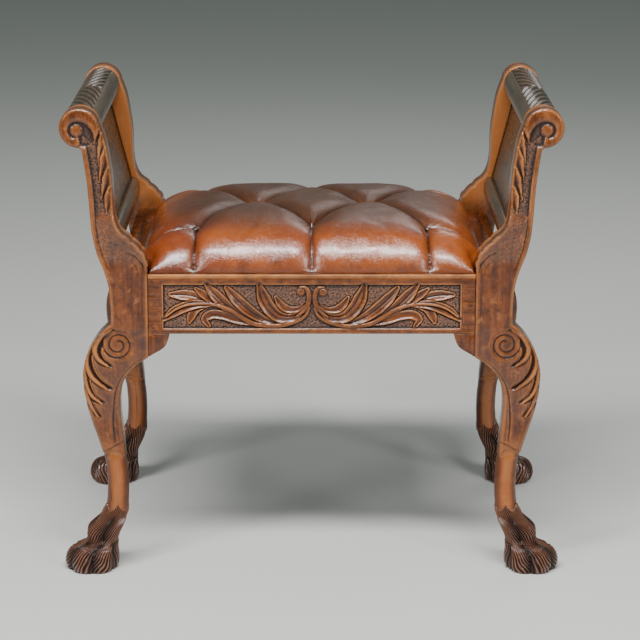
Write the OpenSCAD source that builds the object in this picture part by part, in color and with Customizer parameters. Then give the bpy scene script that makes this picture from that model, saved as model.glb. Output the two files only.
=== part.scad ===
// Carved window seat: four S-shaped standards with scroll arms and hairy paw feet,
// a carved rail frame and a deep-buttoned leather seat. Millimetres, +Z up, front on -Y,
// origin on the floor under the middle of the seat.

/* [Overall] */
// Distance over the two arm scrolls, left to right
scroll_span = 631; // [570:1:700]
// Depth over the carved faces, front to back
frame_depth = 400; // [350:1:450]
// Height of the scroll tops above the floor
arm_height = 608; // [570:1:650]

/* [Standards] */
// Thickness of the board that a standard is sawn from
board_t = 36; // [30:1:42]
// Reach of a standard from its rail shoulder out to the scroll
board_w = 107.5; // [98:0.5:118]
// Radius of the arm scroll
scroll_r = 25; // [22:0.5:28]
// Front-to-back thickness of the round lower leg
ankle_t = 32; // [26:1:35]

/* [Paws] */
// Height of a paw block, up to its joint with the ankle
paw_h = 80; // [66:1:92]
// Width of a paw on the floor, left to right
paw_w = 74; // [62:1:84]
// Depth of a paw on the floor, front to back
paw_d = 73; // [62:1:84]
// Diameter of the dowel between ankle and paw
paw_dowel_d = 10; // [8:1:12]
// Length of that dowel
paw_dowel_l = 56; // [40:1:64]

/* [Seat rails] */
// Height of the underside of the rails above the floor
rail_z = 318; // [306:1:330]
// Height of the rails themselves
rail_h = 78; // [66:1:80]
// Thickness of the front and back rails
rail_t = 22; // [19:1:25]
// Thickness of the two side rails
side_rail_t = 24; // [19:1:25]
// Plain wood left at each end of the sunk carved panel
panel_stile_w = 19.5; // [14:0.5:30]
// Plain wood left above the sunk panel
panel_top_w = 13.5; // [8:0.5:16]
// Plain wood left below the sunk panel
panel_low_w = 7.5; // [5:0.5:12]
// Depth of the sunk ground
panel_sink = 3.5; // [2:0.5:5]

/* [Arms] */
// Radius of the carved roll between two scrolls
roll_r = 23.5; // [20:0.5:26]
// Thickness of the board that closes an arm end
end_board_t = 7; // [5:0.5:8]
// Thickness of the rounded rail below that board
end_rail_t = 21; // [18:1:24]
// Height of that rail
end_rail_h = 40; // [34:1:44]

/* [Cushion] */
// Height of the crown above the rails
crown_h = 66; // [50:1:80]
// Distance between neighbouring buttons in a row
button_pitch_x = 150; // [130:1:156]
// Distance between the middle row and the front or back row
button_pitch_y = 118; // [100:1:124]
// Depth of the tufting at a button
tuft_depth = 32; // [20:1:40]
// Depth of a sewn pleat halfway between two buttons
pleat_depth = 15; // [8:1:22]
// Diameter of a covered button
button_d = 11; // [9:1:13]

/* [Hidden] */

// Running clearance of glued joints, of soft parts, and overrun of every cut
glue_gap = 0.15;
soft_gap = 0.3;
overrun = 1;

// Faces that the whole frame is set out from
shoulder_x = scroll_span / 2 - board_w;
face_y = frame_depth / 2;
board_back_y = face_y - board_t;
leg_y = face_y - board_t / 2;
scroll_x = scroll_span / 2 - scroll_r;
scroll_z = arm_height - scroll_r;
rail_top = rail_z + rail_h;
rail_setback = 1;
rail_back_y = face_y - rail_setback - rail_t;
side_rail_inset = 15;
side_rail_in = shoulder_x + side_rail_inset;
side_rail_out = side_rail_in + side_rail_t;

// Outline of a standard. Each point is a share of the board's reach and of the arm's height
neck_edge_shares = [[0.753, 0.923], [0.721, 0.888], [0.688, 0.842], [0.670, 0.798], [0.656, 0.760],
                    [0.633, 0.727], [0.586, 0.692], [0.512, 0.658], [0.460, 0.622], [0.439, 0.579],
                    [0.442, 0.544]];
knee_edge_shares = [[0.442, 0.544], [0.502, 0.536], [0.614, 0.515], [0.726, 0.482], [0.781, 0.446],
                    [0.786, 0.411], [0.763, 0.378], [0.716, 0.342], [0.656, 0.308], [0.595, 0.275],
                    [0.572, 0.262]];
calf_edge_shares = [[0.298, 0.254], [0.326, 0.312], [0.344, 0.354], [0.344, 0.387], [0.321, 0.411],
                    [0.260, 0.433], [0.167, 0.452], [0.065, 0.466], [0, 0.473]];
shoulder_edge_shares = [[0, 0.658], [0.009, 0.676], [0.056, 0.696], [0.149, 0.713], [0.242, 0.729],
                        [0.326, 0.745], [0.372, 0.766], [0.393, 0.793], [0.395, 0.822],
                        [0.400, 0.849], [0.423, 0.883], [0.470, 0.931], [0.535, 0.964]];
// Round lower leg: height, inner edge and outer edge, as shares of the same sizes
shin_shares = [[0.283, 0.310, 0.609], [0.260, 0.298, 0.575], [0.235, 0.286, 0.546],
               [0.210, 0.273, 0.533], [0.181, 0.270, 0.530], [0.156, 0.276, 0.540],
               [0.142, 0.284, 0.558]];
edge_steps = 4;
shin_sides = 24;

// Joinery
tenon_l = 18;
tenon_t = 8;
tenon_shoulder = 12;
tenon_h = rail_h - 2 * tenon_shoulder;
roll_tenon_r = 11;
roll_tenon_l = 16;
end_rail_tenon_r = 6;
end_rail_tenon_l = 14;
housing_depth = 4;

// Bracket under a long rail, its curve as shares of its own width and height
bracket_w = 27;
bracket_h = 30;
bracket_shares = [[1, 0], [0.93, 0.24], [0.80, 0.50], [0.59, 0.68], [0.30, 0.83], [0, 1]];

// Lean of the end board, from under the roll down to the end rail
end_board_top_inset = 8.5;
end_board_low_inset = 39;
end_board_bite = 5;
end_board_tongue = 8;
end_rail_inset = 38;
end_rail_clear = 16;
end_rail_lean = 11;
end_rail_x = scroll_x - end_rail_inset;
end_rail_z = rail_top + end_rail_clear + end_rail_h / 2;
end_board_top_x = scroll_x - end_board_top_inset;
end_board_low_x = scroll_x - end_board_low_inset;
end_board_top_z = scroll_z - roll_r + end_board_bite;
end_board_low_z = end_rail_z + end_rail_h / 2 - end_board_tongue;

// Webbing, hessian and dust cover
web_t = 1.2;
web_w = 50;
web_edge = 33;
cross_web_pitch = (2 * (shoulder_x - web_edge) - web_w) / 4;
long_web_pitch = board_back_y - web_edge - web_w / 2;
hessian_t = 0.8;
rebate_w = 12;
rebate_depth = 3.5;
dust_cover_t = 1;
dust_cover_lap = 8;

// Corner blocks and their screws
block_leg = 60;
block_h = 50;
block_rise = 12;
block_z = rail_z + block_rise;
screw_d = 4;
screw_head_d = 8;
screw_head_h = 2.6;
screw_l = 33;
screw_seat = 26;
screw_offset = 30;

// Tacks of the dust cover
tack_head_d = 9;
tack_head_h = 1.2;
tack_d = 2;
tack_l = 9;
tack_pitch = 52;

function from_shares(shares) =
    [for (s = shares) [shoulder_x + s[0] * board_w, s[1] * arm_height]];

function spline_point(a, b, c, d, t) =
    0.5 * (2 * b + (c - a) * t + (2 * a - 5 * b + 4 * c - d) * t * t
           + (3 * b - a - 3 * c + d) * t * t * t);

// Smooth curve through the points, each span cut into the same number of steps
function smooth_path(points, steps) =
    let (last = len(points) - 1)
    concat([for (i = [0 : last - 1], s = [0 : steps - 1])
                spline_point(points[max(i - 1, 0)], points[i], points[i + 1],
                             points[min(i + 2, last)], s / steps)],
           [points[last]]);

// Faces of a closed solid built of equal rings, the first ring at the bottom
function ring_faces(rings, sides) =
    concat([[for (i = [0 : sides - 1]) i]],
           [for (r = [0 : rings - 2], i = [0 : sides - 1], half = [0, 1])
                let (j = (i + 1) % sides, low = r * sides, high = low + sides)
                half == 0 ? [low + i, high + j, low + j] : [low + i, high + i, high + j]],
           [[for (i = [sides - 1 : -1 : 0]) (rings - 1) * sides + i]]);

// Places a part that is drawn at the front right corner, or its mirror images
module corner(x_side, y_side) {
    mirror([x_side < 0 ? 1 : 0, 0, 0])
        mirror([0, y_side > 0 ? 1 : 0, 0])
            children();
}

// Extrudes an outline drawn in X and Z, from one depth to another
module slab(from_y, to_y) {
    translate([0, to_y, 0])
        rotate([90, 0, 0])
            linear_extrude(height = to_y - from_y)
                children();
}

module flat_of_standard() {
    neck = smooth_path(from_shares(neck_edge_shares), edge_steps);
    knee = smooth_path(from_shares(knee_edge_shares), edge_steps);
    calf = smooth_path(from_shares(calf_edge_shares), edge_steps);
    shoulder = smooth_path(from_shares(shoulder_edge_shares), edge_steps);
    polygon(concat(neck, [for (i = [1 : len(knee) - 1]) knee[i]], calf, shoulder));
}

module shin() {
    count = len(shin_shares);
    points = [for (k = [count - 1 : -1 : 0], i = [0 : shin_sides - 1])
        let (s = shin_shares[k],
             middle = shoulder_x + (s[1] + s[2]) / 2 * board_w,
             half = (s[2] - s[1]) / 2 * board_w,
             z = k == count - 1 ? paw_h : s[0] * arm_height,
             turn = 360 * i / shin_sides)
        [middle + half * cos(turn), -leg_y + ankle_t / 2 * sin(turn), z]];
    polyhedron(points, ring_faces(count, shin_sides), convexity = 4);
}

// Section of the end board, widened all round by a clearance
module end_board_section(gap) {
    polygon([[end_board_top_x - gap, end_board_top_z + gap],
             [end_board_top_x + end_board_t + gap, end_board_top_z + gap],
             [end_board_low_x + end_board_t + gap, end_board_low_z - gap],
             [end_board_low_x - gap, end_board_low_z - gap]]);
}

module rail_mortise() {
    translate([shoulder_x - overrun, -rail_back_y - rail_t / 2 - tenon_t / 2 - glue_gap,
               rail_z + (rail_h - tenon_h) / 2 - glue_gap])
        cube([tenon_l + glue_gap + overrun, tenon_t + 2 * glue_gap, tenon_h + 2 * glue_gap]);
}

module side_rail_mortise() {
    translate([(side_rail_in + side_rail_out) / 2 - tenon_t / 2 - glue_gap,
               -board_back_y - tenon_l - glue_gap,
               rail_z + (rail_h - tenon_h) / 2 - glue_gap])
        cube([tenon_t + 2 * glue_gap, tenon_l + glue_gap + overrun, tenon_h + 2 * glue_gap]);
}

module blind_bore(x, z, radius, depth) {
    translate([x, -board_back_y + overrun, z])
        rotate([90, 0, 0])
            cylinder(r = radius + glue_gap, h = depth + glue_gap + overrun, $fn = 48);
}

// One paw dowel, widened and lengthened by a clearance
module paw_dowel(gap) {
    dowel_x = shoulder_x + (shin_shares[6][1] + shin_shares[6][2]) / 2 * board_w;
    translate([dowel_x, -leg_y, paw_h - paw_dowel_l / 2 - gap])
        cylinder(d = paw_dowel_d + 2 * gap, h = paw_dowel_l + 2 * gap, $fn = 32);
}

module standard() {
    color("saddlebrown")
        difference() {
            union() {
                slab(-face_y, -board_back_y) flat_of_standard();
                slab(-face_y, -board_back_y)
                    translate([scroll_x, scroll_z]) circle(r = scroll_r, $fn = 96);
                shin();
            }
            rail_mortise();
            side_rail_mortise();
            blind_bore(scroll_x, scroll_z, roll_tenon_r, roll_tenon_l);
            blind_bore(end_rail_x, end_rail_z, end_rail_tenon_r, end_rail_tenon_l);
            slab(-board_back_y - housing_depth - glue_gap, -board_back_y + overrun)
                end_board_section(glue_gap);
            paw_dowel(glue_gap);
        }
}

// Paw: height, middle, half width, half depth and toe swell, bottom ring first.
// Heights are shares of the paw's height, the rest of its width and depth
paw_shares = [[0, 0.50, 0.42, 0.42, 0.05], [0.05, 0.505, 0.45, 0.45, 0.07],
              [0.16, 0.51, 0.46, 0.46, 0.10], [0.27, 0.50, 0.445, 0.44, 0.12],
              [0.36, 0.465, 0.41, 0.40, 0.10], [0.43, 0.41, 0.35, 0.35, 0.05],
              [0.48, 0.37, 0.325, 0.34, 0.02], [0.58, 0.325, 0.335, 0.355, 0],
              [0.68, 0.265, 0.335, 0.345, 0], [0.78, 0.175, 0.30, 0.31, 0],
              [0.89, 0.10, 0.245, 0.26, 0]];
paw_sides = 40;
paw_inset = 41;
paw_lead = 4;
paw_in_x = shoulder_x + paw_inset;
paw_mid_y = leg_y + paw_lead;

// Four toes fan out round this heading, which points outwards and to the front
toe_heading = 302;
toe_spread = 52;

function toe_swell(turn) =
    let (off = abs((turn - toe_heading + 540) % 360 - 180))
    off < 2 * toe_spread ? -cos(off * 360 / toe_spread) : -1;

function paw_ring(middle_x, middle_y, half_w, half_d, swell, z) =
    [for (i = [0 : paw_sides - 1])
        let (turn = 360 * i / paw_sides, grow = 1 + swell * toe_swell(turn))
        [middle_x + half_w * grow * cos(turn), -middle_y + half_d * grow * sin(turn), z]];

module paw() {
    top = shin_shares[6];
    top_ring = paw_ring(shoulder_x + (top[1] + top[2]) / 2 * board_w, leg_y,
                        (top[2] - top[1]) / 2 * board_w, ankle_t / 2, 0, paw_h);
    low_rings = [for (s = paw_shares)
        let (settle = min(1, (1 - s[0]) / (1 - paw_shares[4][0])))
        each paw_ring(paw_in_x + s[1] * paw_w,
                      leg_y + (paw_mid_y - leg_y) * settle,
                      s[2] * paw_w, s[3] * paw_d, s[4], s[0] * paw_h)];
    color("sienna")
        difference() {
            polyhedron(concat(low_rings, top_ring),
                       ring_faces(len(paw_shares) + 1, paw_sides), convexity = 6);
            paw_dowel(glue_gap);
        }
}

module paw_dowels() {
    color("burlywood")
        for (x_side = [-1, 1], y_side = [-1, 1])
            corner(x_side, y_side) paw_dowel(0);
}

// Front rail, drawn whole; the back rail is its mirror image
module long_rail() {
    color("saddlebrown")
        difference() {
            union() {
                translate([-shoulder_x, -rail_back_y - rail_t, rail_z])
                    cube([2 * shoulder_x, rail_t, rail_h]);
                translate([-shoulder_x - tenon_l, -rail_back_y - rail_t / 2 - tenon_t / 2,
                           rail_z + (rail_h - tenon_h) / 2])
                    cube([2 * (shoulder_x + tenon_l), tenon_t, tenon_h]);
            }
            translate([-shoulder_x + panel_stile_w, -rail_back_y - rail_t - overrun,
                       rail_z + panel_low_w])
                cube([2 * (shoulder_x - panel_stile_w), panel_sink + overrun,
                      rail_h - panel_low_w - panel_top_w]);
            translate([-shoulder_x - overrun, -rail_back_y - rebate_w, rail_top - rebate_depth])
                cube([2 * (shoulder_x + overrun), rebate_w + overrun, rebate_depth + overrun]);
            long_rail_holes();
        }
}

module long_rail_holes() {
    for (x_side = [-1, 1])
        corner(x_side, -1) block_screw_to_long_rail(glue_gap);
    for (x = tack_row(shoulder_x - bracket_w))
        translate([x, -rail_back_y - dust_cover_lap / 2, 0]) tack(glue_gap);
}

// Right side rail; the left one is its mirror image
module side_rail() {
    color("saddlebrown")
        difference() {
            union() {
                translate([side_rail_in, -board_back_y, rail_z])
                    cube([side_rail_t, 2 * board_back_y, rail_h]);
                translate([(side_rail_in + side_rail_out) / 2 - tenon_t / 2,
                           -board_back_y - tenon_l, rail_z + (rail_h - tenon_h) / 2])
                    cube([tenon_t, 2 * (board_back_y + tenon_l), tenon_h]);
            }
            translate([side_rail_in - overrun, -board_back_y - overrun,
                       rail_top - rebate_depth + web_t])
                cube([rebate_w + overrun, 2 * (board_back_y + overrun), rebate_depth + overrun]);
            for (y_side = [-1, 1])
                corner(1, y_side) block_screw_to_side_rail(glue_gap);
            for (y = tack_row(board_back_y))
                translate([side_rail_in + dust_cover_lap / 2, y, 0]) tack(glue_gap);
        }
}

module bracket() {
    curve = smooth_path([for (s = bracket_shares)
        [shoulder_x - s[0] * bracket_w, rail_z - s[1] * bracket_h]], edge_steps);
    color("saddlebrown")
        slab(-rail_back_y - rail_t, -rail_back_y)
            polygon(concat(curve, [[shoulder_x, rail_z]]));
}

module roll() {
    color("saddlebrown")
        difference() {
            translate([scroll_x, 0, scroll_z])
                rotate([90, 0, 0]) {
                    cylinder(r = roll_r, h = 2 * board_back_y, center = true, $fn = 96);
                    cylinder(r = roll_tenon_r, h = 2 * (board_back_y + roll_tenon_l),
                             center = true, $fn = 48);
                }
            slab(-board_back_y - roll_tenon_l - overrun, board_back_y + roll_tenon_l + overrun)
                end_board_section(glue_gap);
        }
}

module end_board() {
    color("sienna")
        slab(-board_back_y - housing_depth, board_back_y + housing_depth)
            end_board_section(0);
}

module end_rail() {
    rim = [for (i = [0 : 47])
        [end_rail_t / 2 * cos(7.5 * i), end_rail_h / 2 * sin(7.5 * i)]];
    color("saddlebrown")
        difference() {
            union() {
                slab(-board_back_y, board_back_y)
                    translate([end_rail_x, end_rail_z])
                        rotate(end_rail_lean)
                            polygon(rim);
                translate([end_rail_x, 0, end_rail_z])
                    rotate([90, 0, 0])
                        cylinder(r = end_rail_tenon_r, h = 2 * (board_back_y + end_rail_tenon_l),
                                 center = true, $fn = 48);
            }
            slab(-board_back_y - overrun, board_back_y + overrun)
                end_board_section(glue_gap);
        }
}

// Plan of the front right corner block, notched round the standard
module corner_block() {
    far_x = shoulder_x - block_leg;
    far_y = board_back_y - block_leg;
    color("tan")
        difference() {
            translate([0, 0, block_z])
                linear_extrude(height = block_h)
                    polygon([[far_x, -rail_back_y],
                             [shoulder_x - glue_gap, -rail_back_y],
                             [shoulder_x - glue_gap, -board_back_y + glue_gap],
                             [side_rail_in, -board_back_y + glue_gap],
                             [side_rail_in, -far_y]]);
            block_screw_to_long_rail(glue_gap);
            block_screw_to_side_rail(glue_gap);
        }
}

// Countersunk screw along -Z, its head's top at the origin, with a clear way above the head
module block_screw(gap) {
    translate([0, 0, -screw_l - gap])
        cylinder(d = screw_d + 2 * gap, h = screw_l + gap, $fn = 32);
    translate([0, 0, -screw_head_h - gap])
        cylinder(d1 = screw_d + 2 * gap, d2 = screw_head_d + 2 * gap,
                 h = screw_head_h + gap, $fn = 32);
    if (gap > 0)
        cylinder(d = screw_head_d + 2 * gap, h = block_leg, $fn = 32);
}

module block_screw_to_long_rail(gap) {
    translate([shoulder_x - screw_offset, -rail_back_y + screw_seat, block_z + block_h * 0.7])
        rotate([-90, 0, 0])
            block_screw(gap);
}

module block_screw_to_side_rail(gap) {
    translate([side_rail_in - screw_seat, -board_back_y + screw_offset, block_z + block_h * 0.3])
        rotate([0, -90, 0])
            block_screw(gap);
}

module corner_block_screws() {
    color("dimgray")
        for (x_side = [-1, 1], y_side = [-1, 1])
            corner(x_side, y_side) {
                block_screw_to_long_rail(0);
                block_screw_to_side_rail(0);
            }
}

module cross_webbing() {
    color("wheat")
        for (k = [-2 : 2])
            translate([k * cross_web_pitch - web_w / 2, -rail_back_y - rebate_w + soft_gap,
                       rail_top - rebate_depth])
                cube([web_w, 2 * (rail_back_y + rebate_w - soft_gap), web_t]);
}

module long_webbing() {
    color("wheat")
        for (k = [-1 : 1])
            translate([-side_rail_in - rebate_w + soft_gap, k * long_web_pitch - web_w / 2,
                       rail_top - rebate_depth + web_t])
                cube([2 * (side_rail_in + rebate_w - soft_gap), web_w, web_t]);
}

// A flat cloth that covers the seat opening and passes between the standards
module notched_sheet(reach_x, reach_y, thickness) {
    linear_extrude(height = thickness) {
        square([2 * reach_x, 2 * (board_back_y - soft_gap)], center = true);
        square([2 * (shoulder_x - bracket_w - soft_gap), 2 * reach_y], center = true);
    }
}

module hessian() {
    color("peru")
        translate([0, 0, rail_top - rebate_depth + 2 * web_t])
            notched_sheet(side_rail_in + rebate_w - soft_gap, rail_back_y + rebate_w - soft_gap,
                          hessian_t);
}

module dust_cover() {
    color("black")
        difference() {
            translate([0, 0, rail_z - dust_cover_t])
                notched_sheet(side_rail_in + dust_cover_lap, rail_back_y + dust_cover_lap,
                              dust_cover_t);
            all_tacks(glue_gap);
        }
}

function tack_row(reach) =
    let (count = floor((reach - tack_head_d) / tack_pitch))
    [for (k = [-count : count]) k * tack_pitch];

module tack(gap) {
    translate([0, 0, rail_z - dust_cover_t - gap])
        cylinder(d = tack_d + 2 * gap, h = dust_cover_t + tack_l + 2 * gap, $fn = 24);
}

module all_tacks(gap) {
    for (side = [-1, 1]) {
        for (x = tack_row(shoulder_x - bracket_w))
            translate([x, side * (rail_back_y + dust_cover_lap / 2), 0]) tack(gap);
        for (y = tack_row(board_back_y))
            translate([side * (side_rail_in + dust_cover_lap / 2), y, 0]) tack(gap);
    }
}

module dust_cover_tacks() {
    color("dimgray") {
        all_tacks(0);
        translate([0, 0, rail_z - dust_cover_t - tack_head_h])
            for (side = [-1, 1]) {
                for (x = tack_row(shoulder_x - bracket_w))
                    translate([x, side * (rail_back_y + dust_cover_lap / 2), 0])
                        cylinder(d = tack_head_d, h = tack_head_h, $fn = 24);
                for (y = tack_row(board_back_y))
                    translate([side * (side_rail_in + dust_cover_lap / 2), y, 0])
                        cylinder(d = tack_head_d, h = tack_head_h, $fn = 24);
            }
    }
}

// Cushion. Rounding of its rim: distance from the edge as a share of the rim's width, and
// rise as a share of the crown
rim_shares = [[0, 0], [0.01, 0.2], [0.04, 0.4], [0.11, 0.6], [0.26, 0.79], [0.52, 0.93]];
rim_bulge = 4;
cushion_base = rail_top + soft_gap;
cushion_setback = 9;
cushion_end_gap = 4;
cushion_front_y = face_y - cushion_setback;
cushion_end_x = side_rail_in - cushion_end_gap;
cushion_neck_x = shoulder_x - rim_bulge - soft_gap;
puff_cells = 5;
row_cells = 7;
pleat_w = 13;
tuft_w = 20;
steepest_share = 1.06;

// Button places: three in front, two in the middle, three behind
button_places = [for (row = [-1 : 1], k = row == 0 ? [-0.5, 0.5] : [-1, 0, 1])
    [k * button_pitch_x, row * button_pitch_y]];

// Sewn pleats, each from a button to a neighbour or straight out to the edge
pleats = concat(
    [for (row = [-1, 1], k = [-1, 0, 1], m = [-0.5, 0.5])
        if (abs(k - m) < 1)
            [[k * button_pitch_x, row * button_pitch_y], [m * button_pitch_x, 0], 1]],
    [for (row = [-1, 1], k = [-1, 0, 1])
        [[k * button_pitch_x, row * button_pitch_y],
         [k * button_pitch_x, row * (cushion_front_y + pleat_w)], 0.6]],
    [for (row = [-1, 1], k = [-1, 1])
        [[k * button_pitch_x, row * button_pitch_y],
         [k * (cushion_end_x + pleat_w), row * button_pitch_y], 0.6]]);

function pleat_drop(p, pleat) =
    let (a = pleat[0], run = pleat[1] - a, length_sq = run * run,
         t = min(max((p - a) * run / length_sq, 0), 1),
         away = norm(p - a - t * run))
    pleat_depth * (1 - (1 - pleat[2]) * t) * exp(-away / pleat_w);

function tuft_drop(p) =
    max(max([for (b = button_places) tuft_depth * exp(-norm(p - b) / tuft_w)]),
        max([for (q = pleats) pleat_drop(p, q)]));

// Grid lines from one edge to the other: place and rise
function grid_lines(half, inner, cells) =
    let (rim_w = half - inner,
         rim = [for (s = rim_shares) [half - s[0] * rim_w, s[1]]])
    concat([for (r = rim) [-r[0], r[1]]],
           [for (k = [-cells : cells]) [inner * k / cells, 1]],
           [for (i = [len(rim) - 1 : -1 : 0]) rim[i]]);

column_lines = grid_lines(cushion_end_x, button_pitch_x, 2 * puff_cells);
row_lines = grid_lines(cushion_front_y, button_pitch_y, row_cells);

// Between the standards the cushion is narrower than over the side rails
neck_gap = 4;
neck_run = 14;
function width_at(y) =
    let (blend = min(max((board_back_y - neck_gap - abs(y)) / neck_run, 0), 1))
    (cushion_neck_x + (cushion_end_x - cushion_neck_x) * blend) / cushion_end_x;

module seat_cushion() {
    columns = len(column_lines);
    rows = len(row_lines);
    top = [for (r = row_lines, c = column_lines)
        let (p = [c[0], r[0]],
             rise = c[1] * r[1],
             swell = 4 * rim_bulge * rise * (1 - rise))
        [c[0] * width_at(r[0]) + sign(c[0]) * swell * (1 - c[1]),
         r[0] + sign(r[0]) * swell * (1 - r[1]),
         cushion_base + (crown_h - tuft_drop(p)) * rise]];
    // The two triangles of a square meet on the diagonal that runs to a button
    faces_up = [for (j = [0 : rows - 2], i = [0 : columns - 2], half = [0, 1])
        let (k = j * columns + i, above = k + columns)
        (i + j) % 2 == 0
            ? (half == 0 ? [k, above + 1, k + 1] : [k, above, above + 1])
            : (half == 0 ? [k, above, k + 1] : [k + 1, above, above + 1])];
    rim = concat([for (i = [0 : columns - 1]) i],
                 [for (j = [1 : rows - 1]) j * columns + columns - 1],
                 [for (i = [columns - 2 : -1 : 0]) (rows - 1) * columns + i],
                 [for (j = [rows - 2 : -1 : 1]) j * columns]);
    underside = [for (i = [0 : len(rim) - 1]) [rim[i], rim[(i + 1) % len(rim)], len(top)]];
    color("firebrick")
        polyhedron(concat(top, [[0, 0, cushion_base]]), concat(faces_up, underside),
                   convexity = 8);
}

module buttons() {
    tuft_cell = min(button_pitch_x / (2 * puff_cells), button_pitch_y / row_cells);
    tuft_slope = steepest_share * tuft_depth * (1 - exp(-tuft_cell / tuft_w)) / tuft_cell;
    button_z = cushion_base + crown_h - tuft_depth + soft_gap
        + button_d / 2 * norm([0.5, tuft_slope]);
    color("maroon")
        for (b = button_places)
            translate([b[0], b[1], button_z])
                rotate_extrude($fn = 48)
                    polygon([for (i = [0 : 12])
                        [button_d / 2 * sin(15 * i), -button_d / 4 * cos(15 * i)]]);
}

corner(-1, -1) standard();  // front_left_standard
corner(1, -1) standard();  // front_right_standard
corner(-1, 1) standard();  // back_left_standard
corner(1, 1) standard();  // back_right_standard
corner(-1, -1) paw();  // front_left_paw
corner(1, -1) paw();  // front_right_paw
corner(-1, 1) paw();  // back_left_paw
corner(1, 1) paw();  // back_right_paw
paw_dowels();
long_rail();  // front_rail
corner(1, 1) long_rail();  // back_rail
corner(-1, -1) side_rail();  // left_side_rail
side_rail();  // right_side_rail
corner(-1, -1) bracket();  // front_left_bracket
corner(1, -1) bracket();  // front_right_bracket
corner(-1, 1) bracket();  // back_left_bracket
corner(1, 1) bracket();  // back_right_bracket
corner(-1, -1) roll();  // left_roll
roll();  // right_roll
corner(-1, -1) end_board();  // left_end_board
end_board();  // right_end_board
corner(-1, -1) end_rail();  // left_end_rail
end_rail();  // right_end_rail
corner(-1, -1) corner_block();  // front_left_corner_block
corner(1, -1) corner_block();  // front_right_corner_block
corner(-1, 1) corner_block();  // back_left_corner_block
corner(1, 1) corner_block();  // back_right_corner_block
corner_block_screws();
cross_webbing();
long_webbing();
hessian();
seat_cushion();
buttons();
dust_cover();
dust_cover_tacks();
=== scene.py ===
import math

import bmesh
import bpy
import numpy as np
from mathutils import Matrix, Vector, noise


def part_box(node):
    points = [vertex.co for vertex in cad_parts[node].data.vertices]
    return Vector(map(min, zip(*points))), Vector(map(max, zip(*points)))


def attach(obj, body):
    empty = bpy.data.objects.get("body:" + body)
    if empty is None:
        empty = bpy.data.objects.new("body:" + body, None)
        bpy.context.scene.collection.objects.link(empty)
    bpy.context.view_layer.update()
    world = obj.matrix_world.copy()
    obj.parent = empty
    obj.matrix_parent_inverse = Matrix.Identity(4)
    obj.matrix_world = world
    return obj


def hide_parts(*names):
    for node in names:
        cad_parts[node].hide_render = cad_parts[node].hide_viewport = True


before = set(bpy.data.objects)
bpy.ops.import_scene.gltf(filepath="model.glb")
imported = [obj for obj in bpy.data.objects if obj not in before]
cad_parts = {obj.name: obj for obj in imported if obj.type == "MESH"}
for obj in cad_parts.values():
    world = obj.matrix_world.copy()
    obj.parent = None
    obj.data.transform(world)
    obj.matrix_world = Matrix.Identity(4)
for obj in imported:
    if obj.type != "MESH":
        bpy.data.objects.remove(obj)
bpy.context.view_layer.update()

# Standards. Each is a 36 mm board of walnut-brown oak, sawn to an S, carved on its outer face and
# rounded over at the leg. A scroll of the same wood ends the arm, and below the step on the shin
# the leg is round and smooth. Sizes are in millimetres; the front right one is the one carved.
MM = 0.001


def box_of(node):
    """Lowest and highest corner of a CAD node, in millimetres"""
    return [[round(value / MM, 1) for value in corner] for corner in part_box(node)]


(SHOULDER_X, FACE_Y, _), (_, BACK_Y, _) = box_of("front_right_standard")
BOARD_T = BACK_Y - FACE_Y
LEG_Y = (FACE_Y + BACK_Y) / 2
ANKLE_T = 32.0
VOXEL = 1.25
# The step round the shin, in X and Z, and its height at the back of the shin
STEP_LINE = [(241, 175), (252.5, 171.7), (261.4, 165), (271.3, 160.3), (280, 158)]
BACK_STEP_Z = 168.0


def held(x):
    """x, kept from 0 to 1"""
    return np.clip(x, 0, 1)


def smooth(low, high, x):
    """0 below low, 1 above high, an S-curve between; low may be the greater"""
    t = held((x - low) / (high - low))
    return t * t * (3 - 2 * t)


def span(x, start, full, full_to, end):
    """0 outside a span of x and 1 within it, with soft ends"""
    return smooth(start, full, x) * smooth(end, full_to, x)


def curve_through(points, count):
    """Evenly spaced points on a smooth curve through the given ones"""
    p = np.array(points, float)
    ends = np.vstack([2 * p[0] - p[1], p, 2 * p[-1] - p[-2]])
    fine = []
    for a, b, c, d in zip(ends, ends[1:], ends[2:], ends[3:]):
        for t in np.linspace(0, 1, 12, endpoint=False):
            fine.append(0.5 * (2 * b + (c - a) * t + (2 * a - 5 * b + 4 * c - d) * t * t
                               + (3 * b - a - 3 * c + d) * t ** 3))
    fine = np.vstack([fine, p[-1]])
    run = np.r_[0, np.cumsum(np.linalg.norm(np.diff(fine, axis=0), axis=1))]
    even = np.linspace(0, run[-1], count)
    return np.stack([np.interp(even, run, fine[:, k]) for k in range(p.shape[1])], 1)


def nearest_on(places, starts, ends):
    """Nearest point of a set of segments: distance, the point, and which segment at what share"""
    runs = ends - starts
    lengths = np.maximum((runs ** 2).sum(1), 1e-9)
    away = np.full(len(places), np.inf)
    point = np.zeros_like(places)
    where = np.zeros(len(places))
    for first in range(0, len(places), 5000):
        part = slice(first, first + 5000)
        p = places[part, None]
        t = held(((p - starts) * runs).sum(2) / lengths)
        near = starts + t[..., None] * runs
        gap = np.linalg.norm(p - near, axis=2)
        k = gap.argmin(1)
        row = np.arange(len(k))
        away[part], point[part], where[part] = gap[row, k], near[row, k], k + t[row, k]
    return away, point, where


def wander(places, size, seed=0.0):
    """Smooth noise from -1 to 1, whose lumps are about size across"""
    shift = Vector((seed * 17.1, seed * 5.3, seed * 9.7))
    return np.array([noise.noise(Vector(p) / size + shift) for p in places])


def pits(places, pitch, seed=0.0):
    """Round punch marks: 1 in the middle of a mark, 0 between marks"""
    depth = []
    for u, w in places:
        near = noise.voronoi(Vector((u / pitch, w / pitch, seed)))[0][0]
        depth.append(max(0.0, 1 - near * 1.9))
    return np.array(depth)


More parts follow.
